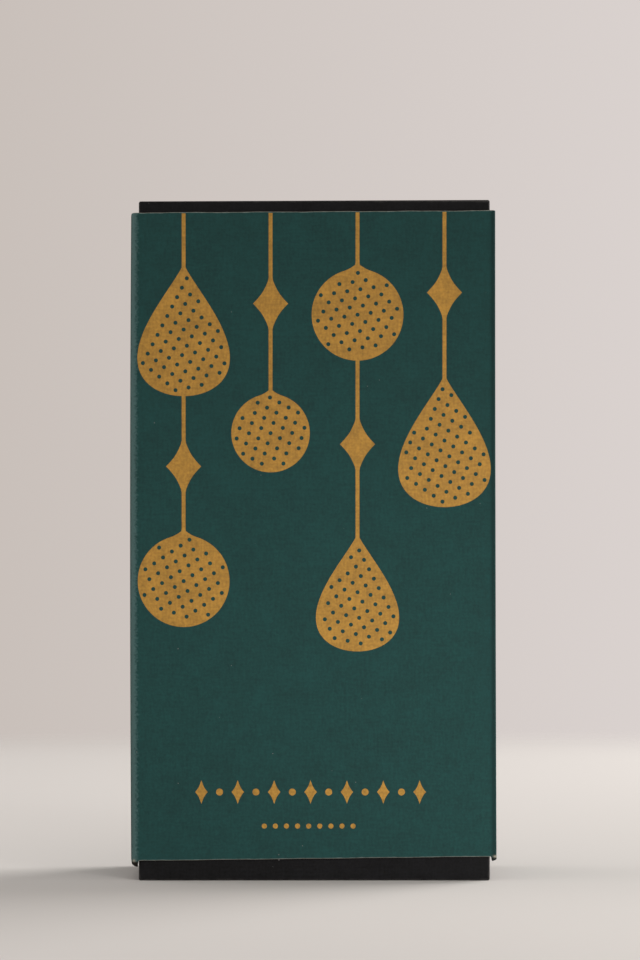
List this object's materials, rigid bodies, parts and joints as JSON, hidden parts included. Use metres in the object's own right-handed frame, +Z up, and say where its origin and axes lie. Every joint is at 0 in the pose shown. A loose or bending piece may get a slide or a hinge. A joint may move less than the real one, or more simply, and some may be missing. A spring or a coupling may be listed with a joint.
{
  "type": "boxed angel chime set",
  "caption": "Rigid gift box with a slide-off printed sleeve, holding a knocked-down candle-driven chime: turbine, bells, pendants, cups, poles and candles.",
  "frame": {"origin": "centre of the box's underside, on the surface that it stands on", "axes": "+Z up, the printed front faces -Y, +X to the right as the front is seen"},
  "size_m": [0.1006, 0.0511, 0.184],
  "materials": {
    "black_box_paper": "matte",
    "green_sleeve_card": "matte",
    "leaflet_paper": "matte",
    "black_insert_card": "matte",
    "brass_sheet": "polished",
    "brass_turned": "satin",
    "peg_plastic": "satin",
    "steel_needle": "polished",
    "candle_wax": "satin",
    "wick_cotton": "matte"
  },
  "bodies": {
    "box": {"box_base": "black_box_paper", "box_neck": "black_box_paper", "folded_leaflet": "leaflet_paper", "insert_floor": "black_insert_card", "insert_card": "black_insert_card", "shelf_middle": "black_insert_card", "shelf_guide": "black_insert_card", "bell_bracket": "brass_sheet", "turbine_peg": "peg_plastic", "bell_pins": "brass_turned", "pendant_hooks": "brass_turned", "base_plate": "brass_sheet", "cup_rivets": "brass_turned", "pole_socket": "brass_turned", "pole_lower": "brass_turned", "pole_upper": "brass_turned", "pivot_needle": "steel_needle", "candle_wicks": "wick_cotton", "bell_1": "brass_sheet", "bell_2": "brass_sheet", "bell_3": "brass_sheet", "star_pendant_1": "brass_sheet", "star_pendant_2": "brass_sheet", "star_pendant_3": "brass_sheet", "star_pendant_4": "brass_sheet", "moon_pendant_1": "brass_sheet", "moon_pendant_2": "brass_sheet", "moon_pendant_3": "brass_sheet", "candle_cup_1": "brass_sheet", "candle_cup_2": "brass_sheet", "candle_cup_3": "brass_sheet", "candle_cup_4": "brass_sheet", "candle_1": "candle_wax", "candle_2": "candle_wax", "candle_3": "candle_wax", "candle_4": "candle_wax"},
    "sleeve": {"printed_sleeve": "green_sleeve_card"},
    "lid": {"box_lid": "black_box_paper"},
    "turbine": {"turbine_wheel": "brass_sheet", "pivot_cap": "brass_turned"}
  },
  "joints": [
    {"name": "sleeve_slide", "type": "slide", "parent": "box", "child": "sleeve", "axis": [0, 0, 1], "range_m": [-0.0036, 0.19]},
    {"name": "lid_lift", "type": "slide", "parent": "box", "child": "lid", "axis": [0, 0, 1], "range_m": [0, 0.17]},
    {"name": "turbine_spin", "type": "hinge", "parent": "box", "child": "turbine", "pos_m": [0, -0.0104, 0.1381], "axis": [0, -1, 0], "continuous": true}
  ]
}
